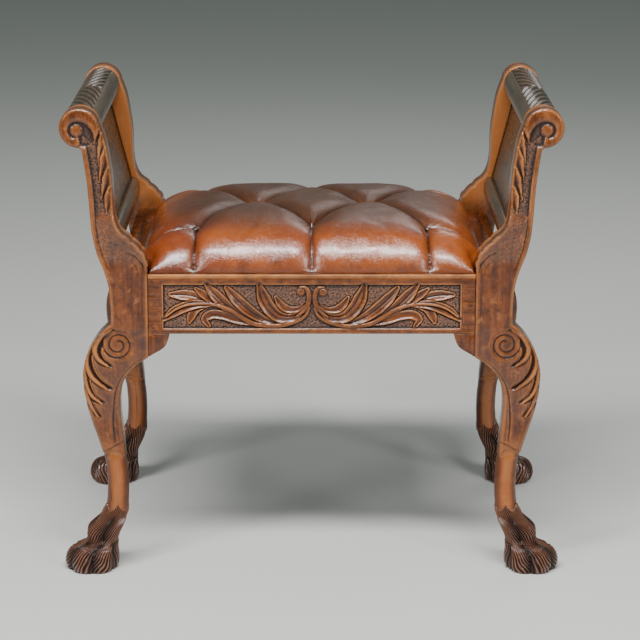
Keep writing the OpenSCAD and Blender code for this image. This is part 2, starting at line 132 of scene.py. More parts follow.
class Relief:
    """Carving over a flat face: its level above the face, which is 0, at places (u, w)"""

    def __init__(self, u, w):
        self.places = np.stack([u, w], 1)
        self.level = np.zeros(len(u))
        self.ground = np.zeros(len(u))

    def close_to(self, line, reach):
        """Places within reach of a line: which, the side distance (left is more), the share"""
        low, high = line.min(0) - reach, line.max(0) + reach
        inside = np.flatnonzero(((self.places > low) & (self.places < high)).all(1))
        away, point, where = nearest_on(self.places[inside], line[:-1], line[1:])
        keep = away < reach
        inside, away, point, where = inside[keep], away[keep], point[keep], where[keep]
        k = np.minimum(where.astype(int), len(line) - 2)
        run = line[k + 1] - line[k]
        off = self.places[inside] - point
        side = np.where(run[:, 0] * off[:, 1] - run[:, 1] * off[:, 0] >= 0, away, -away)
        return inside, side, where / (len(line) - 1)

    def sink(self, cover, depth, ground=1.0):
        """Lowers a region to its ground, which the punch then roughens"""
        self.level -= cover * depth
        self.ground = np.maximum(self.ground, cover * ground)

    def along(self, spine, halves, count):
        """Places by a spine: which, side distance, share of the way, half width there, and cover"""
        i, side, share = self.close_to(curve_through(spine, count), max(halves) + 2)
        half = np.interp(share, np.linspace(0, 1, len(halves)), halves)
        return i, side, share, half, smooth(half + 0.7, half - 0.7, np.abs(side))

    def raise_to(self, i, level, cover):
        """Wood left standing above its ground"""
        self.level[i] += (level - self.level[i]) * cover
        self.ground[i] *= 1 - cover

    def leaf(self, spine, halves, rim, scoop, lean, ribs):
        """A gouged leaf along its spine: raised rims, a scooped middle and a few ribs"""
        i, side, share, half, cover = self.along(spine, halves, 40)
        q = np.clip(side / half, -1.2, 1.2)
        level = rim - scoop * (1 - q * q) + lean * q
        for k in range(ribs):
            vein = 2 * (k + 1) / (ribs + 1) - 1
            level = level - 1.1 * np.exp(-((q - vein) / 0.15) ** 2) * span(share, 0.02, 0.2, 0.85, 0.99)
        level = level - 0.9 * smooth(0.1, 0.0, share)
        cut_round = 1.3 * np.exp(-((np.abs(side) - half - 0.5) / 0.8) ** 2)
        self.level[i] -= cut_round * smooth(0.06, 0.2, share)
        self.raise_to(i, level, cover)

    def roll(self, spine, halves, crest, drop):
        """A rounded rib or stem along its spine"""
        i, side, _, half, cover = self.along(spine, halves, 60)
        q = held(np.abs(side) / half)
        self.raise_to(i, crest - drop * (1 - np.sqrt(1 - q * q)), cover)

    def incise(self, line, half, depth):
        """A V-shaped line"""
        i, side, share = self.close_to(curve_through(line, 60), half)
        self.level[i] -= depth * (1 - np.abs(side) / half) * span(share, 0, 0.04, 0.96, 1)


def new_object(name, data):
    """An object in the scene"""
    made = bpy.data.objects.new(name, data)
    bpy.context.scene.collection.objects.link(made)
    return made


def copy_of(node, name):
    """A mesh of its own with a CAD node's shape, its loose triangles merged"""
    piece = new_object(name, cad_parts[node].data.copy())
    piece.data.materials.clear()
    shape = bmesh.new()
    shape.from_mesh(piece.data)
    bmesh.ops.remove_doubles(shape, verts=shape.verts, dist=1e-6)
    shape.to_mesh(piece.data)
    shape.free()
    return piece


def choose(*pieces):
    """Selects pieces, the first one active, for the calls that work on what is selected"""
    bpy.ops.object.select_all(action="DESELECT")
    for piece in pieces:
        piece.select_set(True)
    bpy.context.view_layer.objects.active = pieces[0]


def apply(piece, kind, **settings):
    """Adds one modifier, sets it up and applies it"""
    choose(piece)
    modifier = piece.modifiers.new(kind.lower(), kind)
    for key, value in settings.items():
        setattr(modifier, key, value)
    bpy.ops.object.modifier_apply(modifier=modifier.name)


def places_of(piece):
    """Places and normals of a mesh's points, in millimetres"""
    vertices = piece.data.vertices
    co, normal = np.zeros((2, len(vertices) * 3))
    vertices.foreach_get("co", co)
    vertices.foreach_get("normal", normal)
    return co.reshape(-1, 3) / MM, normal.reshape(-1, 3)


def put_places(piece, places):
    """Moves a mesh's points to places in millimetres"""
    piece.data.vertices.foreach_set("co", (places * MM).ravel())
    piece.data.update()


def mark(piece, name, values):
    """A number on each point, which the finish reads; a piece without it reads as 0"""
    data = piece.data.attributes.new(name, "FLOAT", "POINT").data
    data.foreach_set("value", values.astype(np.float32))


def proud_of(piece, level, rounds):
    """How far each point's carved level stands above the mean level round it"""
    ends = np.zeros(len(piece.data.edges) * 2, dtype=np.int32)
    piece.data.edges.foreach_get("vertices", ends)
    a, b = ends.reshape(-1, 2).T
    count = len(level)
    links = np.maximum(np.bincount(a, minlength=count) + np.bincount(b, minlength=count), 1)
    mean = level.copy()
    for _ in range(rounds):
        total = np.bincount(a, mean[b], count) + np.bincount(b, mean[a], count)
        mean = 0.5 * mean + 0.5 * total / links
    return level - mean


def shade(piece, angle=180):
    """Shades a mesh smooth, but for edges that turn by more than angle, in degrees"""
    choose(piece)
    if angle < 180:
        bpy.ops.object.shade_smooth_by_angle(angle=math.radians(angle))
    else:
        bpy.ops.object.shade_smooth()


CORNERS = [("front_left", -1, -1), ("front_right", 1, -1), ("back_left", -1, 1), ("back_right", 1, 1)]


def fit(piece, node, finish):
    """Gives a piece its finish and its body, and hides the CAD node that it stands for"""
    piece.data.materials.clear()
    piece.data.materials.append(finish)
    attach(piece, "root")
    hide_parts(node)


def at_corners(master, part, finish):
    """The front right piece and its mirror images at the other corners"""
    for corner, x_side, y_side in sorted(CORNERS, key=lambda c: c[0] == "front_right"):
        piece = master
        if corner != "front_right":
            piece = new_object(corner, master.data.copy())
            put_places(piece, places_of(piece)[0] * (x_side, -y_side, 1))
            if x_side * y_side > 0:
                piece.data.flip_normals()
        piece.name = f"{corner}_{part}_carved"
        fit(piece, f"{corner}_{part}", finish)


class Wire:
    """A shader socket that takes part in sums"""

    def __init__(self, finish, socket):
        self.finish = finish
        self.socket = socket

    def maths(self, operation, *values):
        return self.finish.node("Math", {"operation": operation}, dict(enumerate(values)))

    def __add__(self, other):
        return self.maths("ADD", self, other)

    def __sub__(self, other):
        return self.maths("SUBTRACT", self, other)

    def __rsub__(self, other):
        return self.maths("SUBTRACT", other, self)

    def __mul__(self, other):
        return self.maths("MULTIPLY", self, other)

    __radd__ = __add__
    __rmul__ = __mul__


class Finish:
    """A material, built node by node on the Principled shader"""

    def __init__(self, name):
        self.material = bpy.data.materials.new(name)
        self.material.use_nodes = True
        self.tree = self.material.node_tree
        self.shader = self.tree.nodes["Principled BSDF"]

    def node(self, kind, settings, inputs, output=0):
        """Adds a shader node and gives back one of its outputs"""
        made = self.tree.nodes.new("ShaderNode" + kind)
        for key, value in settings.items():
            setattr(made, key, value)
        for key, value in inputs.items():
            self.feed(made.inputs[key], value)
        return Wire(self, made.outputs[output])

    def feed(self, socket, value):
        if isinstance(value, Wire):
            self.tree.links.new(value.socket, socket)
        else:
            socket.default_value = value

    def set(self, **sockets):
        """Sets the shader's sockets; a _ in a name is a space there"""
        for key, value in sockets.items():
            self.feed(self.shader.inputs[key.replace("_", " ")], value)

    def place(self, scale=(1, 1, 1)):
        """The place on the object, in metres, stretched by scale"""
        here = self.node("TexCoord", {}, {}, "Object")
        return self.node("Mapping", {}, {"Vector": here, "Scale": scale})

    def height(self):
        """Metres above the floor"""
        return self.node("SeparateXYZ", {}, {0: self.place()}, 2)

    def cloud(self, scale, detail, roughness, distortion=0.0):
        """Noise from 0 to 1; scale is one number, or one for each axis"""
        stretch, size = (scale, 1.0) if isinstance(scale, tuple) else ((1, 1, 1), scale)
        return self.node("TexNoise", {}, {
            "Vector": self.place(stretch), "Scale": size, "Detail": detail, "Roughness": roughness,
            "Distortion": distortion})

    def attribute(self, name):
        return self.node("Attribute", {"attribute_name": name}, {}, "Fac")

    def step(self, value, low, high):
        """As smooth(), for a socket"""
        return self.node("MapRange", {"interpolation_type": "SMOOTHSTEP"}, {
            "Value": value, "From Min": low, "From Max": high, "To Min": 0.0, "To Max": 1.0})

    def mix(self, amount, a, b):
        """Colour a where amount is 0, b where it is 1"""
        first, second = [(*c, 1) if isinstance(c, tuple) else c for c in (a, b)]
        return self.node("Mix", {"data_type": "RGBA"}, {0: amount, 6: first, 7: second}, 2)

    def finished(self, relief, distance, strength):
        """The material with its fine relief, which is so many metres high"""
        self.set(Normal=self.node("Bump", {}, {
            "Height": relief, "Distance": distance, "Strength": strength}))
        return self.material


WOOD_LIGHT = (0.170, 0.042, 0.006)
WOOD_MIDDLE = (0.066, 0.014, 0.003)
WOOD_DARK = (0.008, 0.003, 0.002)
WOOD_STAIN = (0.032, 0.009, 0.004)
WOOD_ORANGE = (0.310, 0.072, 0.005)
WOOD_WEAR_AND_HIGHLIGHT = (0.430, 0.160, 0.045)
WOOD_GROUND_SHEEN = (0.170, 0.108, 0.088)
WOOD_INNER_LIGHT = (0.450, 0.155, 0.040)
ORANGE_BELOW = (0.19, 0.13)


def oak(name, along, carved=True):
    """Stained and waxed oak: its grain runs along one axis; hollows hold dark old wax. Marks on carved
    pieces also paint shade on the shins' sides, light on their fronts, the rails' tops and the inner
    faces, and a sheen on the punched ground
    """
    f = Finish(name)
    fibre = tuple(7.0 if axis == along else 120.0 for axis in "xyz")
    pore = tuple(28.0 if axis == along else 900.0 for axis in "xyz")
    growth = f.cloud(fibre, 5, 0.6, 0.6)
    pores = f.cloud(pore, 2, 0.5)
    patches = f.cloud(14.0, 3, 0.6, 0.8)
    stains = f.cloud(70.0, 5, 0.7, 0.6)
    colour = f.mix(f.step(growth, 0.32, 0.68), WOOD_MIDDLE, WOOD_LIGHT)
    colour = f.mix(f.step(stains, 0.48, 0.64) * 0.75, colour, WOOD_STAIN)
    colour = f.mix(f.step(stains, 0.46, 0.30) * 0.4, colour, WOOD_WEAR_AND_HIGHLIGHT)
    colour = f.mix(f.step(f.height(), *ORANGE_BELOW) * 0.7, colour, WOOD_ORANGE)
    colour = f.mix(f.step(patches, 0.52, 0.75) * 0.65, colour, WOOD_MIDDLE)
    colour = f.mix(f.step(pores, 0.56, 0.72) * 0.55, colour, WOOD_DARK)
    rough = 0.22 + f.step(patches, 0.4, 0.7) * 0.14 + f.step(pores, 0.55, 0.7) * 0.12
    relief = growth * 0.25 - pores * 0.5
    shine = 0.35
    if carved:
        hollow_and_shade, ground, wear_and_highlight = f.attribute("hollow_and_shade"), f.attribute("ground"), f.attribute("wear_and_highlight")
        punch = f.cloud(420.0, 3, 0.7)
        # Punched ground turned grey: a painted sheen
        colour = f.mix(ground * 0.52, colour, WOOD_GROUND_SHEEN)
        colour = f.mix(f.step(punch, 0.60, 0.45) * ground * 0.5, colour, WOOD_DARK)
        # Dark in the hollows from old wax, and on the shins' sides as painted shade
        colour = f.mix(f.step(hollow_and_shade, 0.0, 0.75) * 0.93, colour, WOOD_DARK)
        # Inner faces made lighter orange: painted light
        colour = f.mix(f.attribute("inner_face_light") * 0.65, colour, WOOD_INNER_LIGHT)
        # Pale where wear has reached edges and high carving, and painted highlights on the shins and along
        # the rails' top
        colour = f.mix(wear_and_highlight * (0.35 + f.step(patches, 0.35, 0.6) * 0.5), colour, WOOD_WEAR_AND_HIGHLIGHT)
        rough = rough + hollow_and_shade * 0.35
        shine = 0.4 - hollow_and_shade * 0.4
        relief = relief + punch * ground * 1.6
    f.set(Base_Color=colour, Roughness=rough, Specular_IOR_Level=0.3, Coat_Weight=shine,
          Coat_Roughness=0.14)
    return f.finished(relief, 0.0006, 0.7)


def outline_of(piece):
    """Segments round the flat carved face of a board, in X and Z, but for its foot"""
    shape = bmesh.new()
    shape.from_mesh(piece.data)
    found = []
    for edge in shape.edges:
        on_face = [abs(v.co.y / MM - FACE_Y) < 0.01 for v in edge.verts]
        flat = [abs(face.normal.y) > 0.99 for face in edge.link_faces]
        if all(on_face) and flat.count(True) == 1:
            found.append([(v.co.x / MM, v.co.z / MM) for v in edge.verts])
    shape.free()
    ends = np.array(found)
    level = np.abs(ends[:, 0, 1] - ends[:, 1, 1]) < 0.5
    foot = (ends[:, :, 1].max(1) < FOOT_TOP) & level
    return ends[~foot, 0], ends[~foot, 1]


FOOT_TOP = 165.0
# Below this height the ankle keeps the CAD part's own shape, and by the rail edges stay square
ROUND_Z, SQUARE_X = 150.0, 210.0
# Radii of the edges before and behind, and what they gain down the leg
FRONT_R, FRONT_LEG_R = 2.6, 6.4
BACK_R, BACK_LEG_R = 1.2, 8.3
# Heights between which each carving comes in and goes out
ARM, SHOULDER, BAND = (462, 482, 590, 600), (404, 420, 462, 482), (400, 412, 462, 480)
KNEE, SCALLOPS = (196, 214, 318, 330), (402, 408, 440, 450)
LEG_FROM, SHIN_FROM = (300, 235), (190, 160)
SCALLOP_Z, SCALLOP_PITCH, SCALLOP_DEPTH = 404, 11, 1.5
ARM_SINK = 2.6
# Lines cut on the shoulder, each with half its width and its depth
SHOULDER_CUTS = [([(234, 425), (223, 419), (214.5, 409), (211, 398)], 1.4, 1.1),
                 ([(227, 413), (221, 405), (219.5, 396)], 1.2, 0.8),
                 ([(214.4, 412), (214.9, 380), (215.1, 345)], 1.2, 0.6)]
KNEE_CUT = [(214, 287), (229, 275.5), (242, 260), (250, 242), (253.6, 221), (254.6, 199), (252.5, 172)]
# The knee's volute: its middle, its radii, and how many steps of 30 degrees it turns
VOLUTE = (247, 304)
VOLUTE_R, VOLUTE_EYE_R, VOLUTE_STEPS = 19.5, 4.5, 24
SCROLL_EYE, EYE_R = (294.0, 580.0), 9.0
SCROLL_RIM = (290.5, 583.0, 25.0)
# Groove round the eye: the angle from the inner side, over the top, and the radius
SCROLL_GROOVE = [(-40, 30), (-29, 25.4), (-22, 23.4), (-12, 21), (-2, 18.3), (15, 15), (38, 12.4),
                 (62, 10.4), (90, 9.2), (180, 9.0), (250, 9.2), (320, 9.6)]
# Where the roll runs out under the eye: the angle and where the ground begins
SCROLL_TAIL = [(250, 26), (272, 20), (295, 14), (318, 9.5)]
BLADES = [[(262.5, 588), (264.5, 576), (270.5, 564)],
          [(257.5, 577), (259.5, 558), (266.2, 537)],
          [(255.0, 555), (258.5, 534), (265.3, 515)],
          [(252.8, 529), (256.0, 510), (263.2, 492)],
          [(251.3, 504), (253.0, 490), (257.4, 475.5)]]
KNEE_LEAVES = [[(292, 268), (291, 243), (283, 221), (272, 209)],
               [(284, 296), (291, 272), (287, 249), (279, 234), (268, 228)],
               [(270, 313), (283, 297), (284, 276), (274, 257), (257, 246)],
               [(252, 322), (266, 309), (272.5, 295), (268, 283), (257, 276)]]
KNEE_RIDGES = [[(291, 277), (293.5, 256), (289, 232), (274, 208)],
               [(283, 304), (291.5, 284), (292, 260), (284, 239), (269, 226)],
               [(270, 317.5), (283.5, 303), (288.5, 282), (281, 261), (261.5, 244.5)],
               [(255, 324), (268, 314.5), (276.5, 300), (273, 285.5), (260, 275.5)]]


def carve_standard(u, w, edge, outer):
    """Carving of a standard's face; edge is the distance to its outline, outer the outer side"""
    relief = Relief(u, w)
    upright = span(w, *ARM)
    off_band = np.where(outer, smooth(5.6, 7.2, edge), 1.0)
    relief.sink(upright * off_band, ARM_SINK)
    shoulder = span(w, *SHOULDER) * off_band
    relief.sink(shoulder * 0.25, 1.6, 2.4)
    band_line = np.where(outer, span(edge, 5.4, 6.4, 6.8, 7.8), 0.0)
    relief.level -= 0.9 * band_line * span(w, *BAND)
    for k, spine in enumerate(BLADES):
        size = 0.75 if k == 0 else 1.0
        relief.leaf(spine, [5 * size, 8.2 * size, 7.4 * size, 4.4 * size, 1.4], 0.3, 3.8, 1.0, 1)
    for line, half, depth in SHOULDER_CUTS:
        relief.incise(line, half, depth)
    carve_scroll(relief)
    from_volute = np.hypot(u - VOLUTE[0], w - VOLUTE[1])
    relief.sink(span(w, *KNEE) * smooth(VOLUTE_R + 0.5, VOLUTE_R + 6.5, from_volute) * 0.12, 2.0, 2.0)
    for leaf, ridge in zip(KNEE_LEAVES, KNEE_RIDGES):
        relief.leaf(leaf, [2.4, 5.4, 6.2, 5.2, 1.8], -0.6, 3.0, -0.6, 2)
        relief.roll(ridge, [1.5, 3.0, 3.7, 3.4, 2.8, 1.4], 0.7, 2.8)
    radii = np.linspace(VOLUTE_R, VOLUTE_EYE_R, VOLUTE_STEPS)
    angles = np.radians(20 - 30 * np.arange(VOLUTE_STEPS))
    disc = smooth(VOLUTE_R + 1, VOLUTE_R - 1, from_volute)
    relief.level = relief.level * (1 - disc) - 0.5 * disc
    relief.ground *= 1 - disc
    volute = [(VOLUTE[0] + r * math.cos(a), VOLUTE[1] + r * math.sin(a)) for r, a in zip(radii, angles)]
    relief.incise(volute, 1.7, 1.5)
    relief.incise(KNEE_CUT, 1.6, 1.5)
    return relief


def carve_scroll(relief):
    """The arm scroll: a fat roll that thins round its eye, with a punched wedge below it"""
    u, w = relief.places.T
    du, dw = u - SCROLL_EYE[0], w - SCROLL_EYE[1]
    reach = np.hypot(du, dw)
    turn = np.degrees(np.arctan2(dw, -du))
    turn = np.where(turn < -75, turn + 360, turn)
    groove = np.interp(turn, *zip(*SCROLL_GROOVE))
    rim_u, rim_w, rim_r = SCROLL_RIM
    to_rim = rim_r - np.hypot(u - rim_u, w - rim_w)
    inside = smooth(-0.5, 1.0, to_rim) * smooth(556, 562, w)
    width = np.maximum(reach - groove + np.maximum(to_rim, 0), 0.5)
    across = held((reach - groove) / width)
    merged = smooth(225, 285, turn)
    roll = -0.1 - np.where(across > 0.45, held((across - 0.45) / 0.55) ** 4,
                           (3.6 - 3.2 * merged) * np.abs(1 - across / 0.45) ** 2.4)
    eye = -0.6 - (2.6 - 1.4 * merged) * held(reach / EYE_R) ** 3
    wedge = (reach > EYE_R) & (reach < groove) & (turn < 62)
    level = np.where(reach >= groove, roll, np.where(wedge, -3.4, eye))
    tail = np.interp(np.where(turn < 100, turn + 360, turn), *zip(*SCROLL_TAIL))
    below = np.maximum(turn > 200, smooth(-34, -44, turn)) * smooth(tail, tail + 1.5, reach)
    level = level * (1 - below) - 3.0 * below
    relief.level = relief.level * (1 - inside) + level * inside
    relief.ground = relief.ground * (1 - inside) + np.maximum(wedge, below) * inside


def shape_standard(piece, starts, ends):
    """Rounds the board's edges, turns the foot of its face to the round shin, and carves it"""
    p, normal = places_of(piece)
    flat = p[:, (0, 2)]
    edge, near, _ = nearest_on(flat, starts, ends)
    away = flat - near
    side = edge < 0.8
    away[side] = -normal[side][:, (0, 2)]
    away /= np.maximum(np.linalg.norm(away, axis=1), 1e-6)[:, None]
    u, w = flat.T
    outside = p[:, 1] < LEG_Y
    front = np.where(outside, p[:, 1] - FACE_Y, BACK_Y - p[:, 1])
    leg = smooth(*LEG_FROM, w)
    radius = np.where(outside, FRONT_R + FRONT_LEG_R * leg, BACK_R + BACK_LEG_R * leg)
    radius = radius * np.clip((u - SQUARE_X) / 10, 0.02, 1) + 0.01
    arc = np.where(front < edge, radius - edge, radius + front) / (2 * radius)
    corner = (edge < radius) & (front < radius) & (w > ROUND_Z + 1)
    turn = held(arc) * math.pi / 2
    turn = np.where(corner, turn, np.where(front < 1.0, 0.0, math.pi / 2))
    inward = np.where(corner, radius * (1 - np.sin(turn)) - edge, 0)
    backward = np.where(corner, radius * (1 - np.cos(turn)) - front, 0)
    relief = carve_standard(u, w, edge, away[:, 0] < 0)
    below = smooth(0.7, -0.7, w - np.interp(u, *zip(*STEP_LINE)))
    foot = (BOARD_T - ANKLE_T) / 2 * smooth(ROUND_Z, ROUND_Z + 6, w)
    depth = -relief.level * (1 - below) + below * foot
    lumps = wander(p, 16, 1) * 0.28 + wander(p, 6, 2) * 0.10
    punch = held(relief.ground) * outside * (1.2 * pits(flat, 3.0, 2) - 0.4)
    carved = smooth(13, 2, front) * outside
    depth = (depth + lumps * smooth(140, 175, w) + punch) * carved * (w > ROUND_Z)
    direction = np.stack([away[:, 0] * np.sin(turn), np.cos(turn), away[:, 1] * np.sin(turn)], 1)
    scallop = span(w, *SCALLOPS) * smooth(9, 1, edge) * (away[:, 0] > 0)
    wave = np.abs(np.sin((w - SCALLOP_Z) * math.pi / SCALLOP_PITCH)) ** 0.6
    inward = inward - SCALLOP_DEPTH * scallop * wave
    p[:, 0] += away[:, 0] * inward
    p[:, 2] += away[:, 1] * inward
    p[:, 1] += np.where(outside, backward, -backward)
    p += direction * depth[:, None] * (turn < 1.2)[:, None]
    put_places(piece, p)
    proud = proud_of(piece, -depth, 14)
    hollow_and_shade = held(np.clip((-relief.level - 1.0) / 6, 0, 0.4) - proud / 1.1) * carved
    faced = np.abs(places_of(piece)[1][:, :2])
    faced /= np.maximum(np.linalg.norm(faced, axis=1), 0.2)[:, None]
    on_shin = smooth(*SHIN_FROM, w)
    # The shin's sides, turned left and right, are darkened as well: painted shade
    hollow_and_shade = np.maximum(hollow_and_shade, smooth(0.3, 0.9, faced[:, 0]) * on_shin * 0.45)
    mark(piece, "hollow_and_shade", hollow_and_shade)
    mark(piece, "ground", held(relief.ground) * carved)
    # The inner face of the board, from the seat up, is painted lighter orange: painted light
    mark(piece, "inner_face_light", smooth(LEG_Y, LEG_Y + 8, p[:, 1]) * smooth(395, 440, w))
    rubbed_and_lit = smooth(5, 1.5, edge) * smooth(9, 2, front) * outside * 0.6
    # The shin's front and back are lightened as well: a painted highlight
    rubbed_and_lit = np.maximum(rubbed_and_lit, smooth(0.75, 1.0, faced[:, 1]) * on_shin * 0.5)
    mark(piece, "wear_and_highlight", held(np.maximum(proud / 0.9, rubbed_and_lit)))


outline = copy_of("front_right_standard", "outline")
starts, ends = outline_of(outline)
bpy.data.objects.remove(outline)
standard = copy_of("front_right_standard", "standard")
apply(standard, "REMESH", mode="VOXEL", voxel_size=VOXEL * MM)
shin = standard.vertex_groups.new(name="shin")
shin.add([v.index for v in standard.data.vertices
          if v.co.z < ROUND_Z * MM or v.co.y > LEG_Y * MM and v.co.z < (ROUND_Z + 35) * MM],
         1.0, "REPLACE")
apply(standard, "SMOOTH", factor=0.5, iterations=3)
apply(standard, "SMOOTH", factor=0.5, iterations=14, vertex_group="shin")
shape_standard(standard, starts, ends)
seam = standard.vertex_groups.new(name="seam")
for v in standard.data.vertices:
    level = v.co.z / MM
    step_z = np.interp(v.co.x / MM, *zip(*STEP_LINE)) if v.co.y < LEG_Y * MM else BACK_STEP_Z
    amount = smooth(136, 144, level) * smooth(step_z - 1.5, step_z - 4, level)
    seam.add([v.index], float(amount), "REPLACE")
apply(standard, "SMOOTH", factor=0.5, iterations=40, vertex_group="seam")
shade(standard)
at_corners(standard, "standard", oak("frame_oak", "z"))

# Paws. Each is a block of the same oak carved as a hairy lion's foot: two cuffs of hair over four
# toes, dowelled under the ankle, which tufts of the hair overlap. Rings give height, middle X,
# half width, middle Y and half depth; the last ones are the tufts, drawn back into the ankle.
PAW_RINGS = [(0, 286, 29, -186, 29), (2, 286.3, 32.8, -186, 32.8), (9, 286.8, 35.4, -186, 34.4),
             (18, 286.2, 35, -186, 34), (25, 285, 33.2, -186, 32.4), (30, 282.5, 30.4, -185.8, 30),
             (34, 277, 25, -185.2, 26), (38, 273.5, 22.4, -184.8, 24), (44, 272.2, 23, -184, 25.4),
             (50, 271.4, 24.4, -183.6, 27), (57, 268.4, 24.8, -183, 26.6), (65, 262.4, 22.4, -182.6, 23.6),
             (72, 257.8, 18.8, -182.2, 20),
             (80, 254.8, 16.9, -182, 18.4), (87, 253.8, 16.2, -182, 18), (93, 253.2, 15.6, -182, 17.4)]
PAW_AROUND, PAW_UP = 320, 190
# Angles: the parting at the front, and how far apart toes and cuffs lie
PARTING, TOE_SPREAD, CUFF_SPREAD = 266.0, 60.0, 90.0
TOE_CLEFT, CUFF_CLEFT = 6.5, 5.6
# Locks round the paw, how deep they are parted, and the rise that shifts one by its width
LOCKS, HAIR_DEPTH, LOCK_RISE = 40, 2.3, 5.2
# How far the hair leans on the toes, by the angle from the parting, and on the cuffs
TOE_LEAN = ([-180, -90, -1, 1, 90, 180], [0.3, -0.65, 0.95, 0.2, 1.25, 0.3])
CUFF_LEAN, TOE_MIDDLE_Z = 0.62, 14
# How high the tufts' points are, how deep the gaps between them, and how far they sink in
TUFT_TOP, TUFT_GAP, TUFT_SINK = 91, 9, 4


def new_piece(name, places, faces):
    """A piece of its own from points, in millimetres, and faces"""
    mesh = bpy.data.meshes.new(name)
    mesh.from_pydata((places * MM).tolist(), [], faces)
    return new_object(name, mesh)


def grid_faces(index):
    """The faces between the points of a grid, whose numbers are given in rows"""
    corners = [index[:-1, :-1], index[:-1, 1:], index[1:, 1:], index[1:, :-1]]
    return np.stack([c.ravel() for c in corners], 1).tolist()


def ring_mesh(name, rings):
    """A closed tube through rings of points, capped at both ends"""
    count, around = len(rings), len(rings[0])
    index = np.arange(count * around).reshape(count, around)
    index = np.hstack([index, index[:, :1]])
    faces = grid_faces(index)
    bottom, top = index[0].tolist(), index[-1].tolist()
    for i in range(around):
        faces.append((bottom[i + 1], bottom[i], count * around))
        faces.append((top[i], top[i + 1], count * around + 1))
    return new_piece(name, np.vstack([*rings, rings[0].mean(0), rings[-1].mean(0)]), faces)


def carved_paw():
    """The paw's block with its toes, cuffs and locks of hair"""
    turn = np.linspace(0, 360, PAW_AROUND, endpoint=False)
    across, back = np.cos(np.radians(turn)), np.sin(np.radians(turn))
    grow = np.stack([across, back, np.zeros(PAW_AROUND)], 1)
    off = (turn - PARTING + 180) % 360 - 180
    front = smooth(150, 110, np.abs(off))
    toe = np.abs(np.sin(np.radians(off * 180 / TOE_SPREAD))) ** 0.55 - 1
    cuff = np.abs(np.sin(np.radians(off * 180 / CUFF_SPREAD))) ** 0.7 - 1
    lean = np.interp(off, *TOE_LEAN)
    tuft = TUFT_TOP - TUFT_GAP * np.abs(np.sin(np.radians(off * 2.5 + 18))) ** 0.8
    rings, hollows = [], []
    for z, x, half_w, y, half_d in curve_through(PAW_RINGS, PAW_UP):
        on_toe = smooth(40, 33, z)
        on_cuff = span(z, 36, 44, 66, 78)
        lobes = TOE_CLEFT * toe * on_toe * front * smooth(-6, 6, z) + CUFF_CLEFT * cuff * on_cuff
        flow = lean * (z - TOE_MIDDLE_Z) * on_toe + CUFF_LEAN * z * (1 - on_toe)
        ring = np.stack([x + half_w * across, y + half_d * back, np.full(PAW_AROUND, z)], 1)
        lock = LOCKS * turn / 360 + flow / LOCK_RISE + wander(ring, 14, 3) * 0.55
        hair = -np.abs(np.cos(math.pi * lock)) ** 2.4 * (0.9 + 0.4 * wander(ring, 9, 5))
        hair = hair * HAIR_DEPTH * smooth(-1, 2.5, z)
        sunk = smooth(tuft - 2.0, tuft + 1.2, z) * TUFT_SINK
        rings.append(ring + grow * (lobes + hair - sunk)[:, None])
        hollows.append(held(-hair / 1.7) + held(-lobes / 6) * 0.6)
    piece = ring_mesh("paw", rings)
    hollow_and_shade = np.r_[np.concatenate(hollows), 0, 0]
    mark(piece, "hollow_and_shade", held(hollow_and_shade))
    # Ridges marked to be lighter: wear, and a painted highlight
    mark(piece, "wear_and_highlight", held(0.5 - hollow_and_shade) * 2)
    shade(piece)
    return piece


WOOD_PAW = (0.060, 0.018, 0.008)
WOOD_PAW_RIDGE = (0.290, 0.105, 0.045)
TOES_RUBBED_BELOW = (0.034, 0.0)


def paw_oak():
    """The same oak, darker with old wax and polished to orange by wear on the toes"""
    f = Finish("paw_oak")
    wear_and_highlight, hollow_and_shade = f.attribute("wear_and_highlight"), f.attribute("hollow_and_shade")
    patches = f.cloud(60.0, 3, 0.6, 0.6)
    grain = f.cloud((160, 160, 20), 3, 0.6)
    colour = f.mix(f.step(grain, 0.35, 0.7), WOOD_PAW, WOOD_MIDDLE)
    # Lighter on the ridges, from wear and as a painted highlight
    colour = f.mix(wear_and_highlight * 0.75, colour, WOOD_PAW_RIDGE)
    low = f.step(f.height(), *TOES_RUBBED_BELOW) * f.step(patches, 0.5, 0.68)
    colour = f.mix(wear_and_highlight * low * 0.9, colour, WOOD_ORANGE)
    colour = f.mix(f.step(hollow_and_shade, 0.1, 0.8) * 0.95, colour, WOOD_DARK)
    f.set(Base_Color=colour, Roughness=0.22 + hollow_and_shade * 0.4, Specular_IOR_Level=0.35,
          Coat_Weight=0.9 - hollow_and_shade * 0.9, Coat_Roughness=0.15)
    return f.finished(grain, 0.0004, 0.5)


at_corners(carved_paw(), "paw", paw_oak())

# Long rails. Each is tenoned between two standards; its panel is sunk 3.5 mm, punched all over and
# carved with a spray of leaves from two curls in the middle. Front and back are alike.
(_, RAIL_FACE_Y, RAIL_LOW), (_, _, RAIL_HIGH) = box_of("front_rail")
# The panel's half length, its lower and its upper edge
PANEL, PANEL_SINK, RAIL_STEP = (188.5, 325.5, 382.5), 3.5, 0.7
# How far the carved face's rim goes back, and how far behind the face the rail's body stays
RIM_BACK, BODY_BACK = 5.0, 4.2
